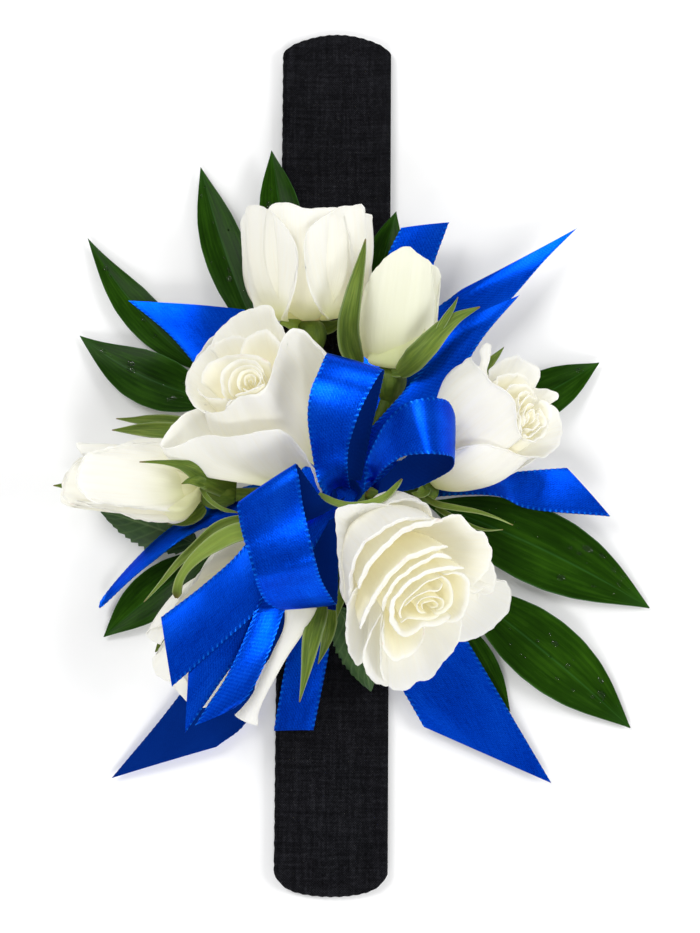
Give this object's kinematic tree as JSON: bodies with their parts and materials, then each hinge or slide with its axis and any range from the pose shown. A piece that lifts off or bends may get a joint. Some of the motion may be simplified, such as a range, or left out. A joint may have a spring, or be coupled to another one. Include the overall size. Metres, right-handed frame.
{
  "type": "wrist corsage",
  "caption": "Wrist corsage of white spray roses, ruscus leaves and a blue satin bow on a black fabric slap bracelet whose two arms curl round the wrist.",
  "frame": {"origin": "middle of the band's wrist face", "axes": "+Y along the band, +X across it, +Z away from the wrist through the flowers"},
  "size_m": [0.1506, 0.2286, 0.0534],
  "materials": {
    "sleeve_fabric": "matte",
    "spring_steel": "satin",
    "pad_felt": "matte",
    "stem_tape": "matte",
    "ribbon_satin": "satin",
    "petal": "matte",
    "calyx_green": "satin",
    "ruscus_leaf": "gloss",
    "rose_leaf": "satin"
  },
  "bodies": {
    "arrangement": {"sleeve_centre": "sleeve_fabric", "strip_centre": "spring_steel", "base_pad": "pad_felt", "stem_bundle": "stem_tape", "bow_tie": "ribbon_satin", "ribbon_over_roses": "ribbon_satin", "ribbon_folded_tails": "ribbon_satin", "bow_loop_up": "ribbon_satin", "bow_loop_right": "ribbon_satin", "bow_loop_left": "ribbon_satin", "ribbon_wide_cross": "ribbon_satin", "ribbon_top_bottom": "ribbon_satin", "ribbon_right_left": "ribbon_satin", "ribbon_right": "ribbon_satin", "ribbon_lower_left": "ribbon_satin", "calyx_rose_top": "calyx_green", "calyx_rose_bud_top": "calyx_green", "calyx_rose_upper_left": "calyx_green", "calyx_rose_right": "calyx_green", "calyx_rose_bud_left": "calyx_green", "calyx_rose_lower_left": "calyx_green", "calyx_rose_front": "calyx_green", "bloom_rose_top": "petal", "bloom_rose_bud_top": "petal", "bloom_rose_upper_left": "petal", "bloom_rose_right": "petal", "bloom_rose_bud_left": "petal", "bloom_rose_lower_left": "petal", "bloom_rose_front": "petal", "ruscus_leaf_top_left": "ruscus_leaf", "ruscus_leaf_top": "ruscus_leaf", "ruscus_leaf_left_upper": "ruscus_leaf", "ruscus_leaf_left_lower": "ruscus_leaf", "ruscus_leaf_lower_left": "ruscus_leaf", "ruscus_leaf_right": "ruscus_leaf", "ruscus_leaf_lower_right": "ruscus_leaf", "ruscus_sprig_lower_right": "ruscus_leaf", "ruscus_leaf_top_right": "ruscus_leaf", "rose_leaf_front": "rose_leaf", "rose_leaf_left": "rose_leaf"},
    "upper_1": {"sleeve_upper_1": "sleeve_fabric", "strip_upper_1": "spring_steel"},
    "upper_2": {"sleeve_upper_2": "sleeve_fabric", "strip_upper_2": "spring_steel"},
    "upper_3": {"sleeve_upper_3": "sleeve_fabric", "strip_upper_3": "spring_steel"},
    "upper_4": {"sleeve_upper_4": "sleeve_fabric", "strip_upper_4": "spring_steel"},
    "upper_5": {"sleeve_upper_5": "sleeve_fabric", "strip_upper_5": "spring_steel"},
    "lower_1": {"sleeve_lower_1": "sleeve_fabric", "strip_lower_1": "spring_steel"},
    "lower_2": {"sleeve_lower_2": "sleeve_fabric", "strip_lower_2": "spring_steel"},
    "lower_3": {"sleeve_lower_3": "sleeve_fabric", "strip_lower_3": "spring_steel"},
    "lower_4": {"sleeve_lower_4": "sleeve_fabric", "strip_lower_4": "spring_steel"},
    "lower_5": {"sleeve_lower_5": "sleeve_fabric", "strip_lower_5": "spring_steel"}
  },
  "joints": [
    {"name": "upper_curl", "type": "hinge", "parent": "arrangement", "child": "upper_1", "pos_m": [0, 0.02015, 0], "axis": [-1, 0, 0], "range_deg": [0, 38]},
    {"name": "upper_curl_2", "type": "hinge", "parent": "upper_1", "child": "upper_2", "pos_m": [0, 0.03901, 0], "axis": [-1, 0, 0], "range_deg": [0, 38]},
    {"name": "upper_curl_3", "type": "hinge", "parent": "upper_2", "child": "upper_3", "pos_m": [0, 0.05787, 0], "axis": [-1, 0, 0], "range_deg": [0, 38]},
    {"name": "upper_curl_4", "type": "hinge", "parent": "upper_3", "child": "upper_4", "pos_m": [0, 0.07673, 0], "axis": [-1, 0, 0], "range_deg": [0, 38]},
    {"name": "upper_curl_5", "type": "hinge", "parent": "upper_4", "child": "upper_5", "pos_m": [0, 0.09559, 0], "axis": [-1, 0, 0], "range_deg": [0, 38]},
    {"name": "lower_curl", "type": "hinge", "parent": "arrangement", "child": "lower_1", "pos_m": [0, -0.02015, 0], "axis": [1, 0, 0], "range_deg": [0, 45]},
    {"name": "lower_curl_2", "type": "hinge", "parent": "lower_1", "child": "lower_2", "pos_m": [0, -0.03901, 0], "axis": [1, 0, 0], "range_deg": [0, 45]},
    {"name": "lower_curl_3", "type": "hinge", "parent": "lower_2", "child": "lower_3", "pos_m": [0, -0.05787, 0], "axis": [1, 0, 0], "range_deg": [0, 45]},
    {"name": "lower_curl_4", "type": "hinge", "parent": "lower_3", "child": "lower_4", "pos_m": [0, -0.07673, 0], "axis": [1, 0, 0], "range_deg": [0, 45]},
    {"name": "lower_curl_5", "type": "hinge", "parent": "lower_4", "child": "lower_5", "pos_m": [0, -0.09559, 0], "axis": [1, 0, 0], "range_deg": [0, 45]}
  ],
  "couplings": [
    {"joint": "upper_curl_2", "follows": "upper_curl", "ratio": 1},
    {"joint": "upper_curl_3", "follows": "upper_curl", "ratio": 1},
    {"joint": "upper_curl_4", "follows": "upper_curl", "ratio": 1},
    {"joint": "upper_curl_5", "follows": "upper_curl", "ratio": 1},
    {"joint": "lower_curl_2", "follows": "lower_curl", "ratio": 1},
    {"joint": "lower_curl_3", "follows": "lower_curl", "ratio": 1},
    {"joint": "lower_curl_4", "follows": "lower_curl", "ratio": 1},
    {"joint": "lower_curl_5", "follows": "lower_curl", "ratio": 1}
  ]
}
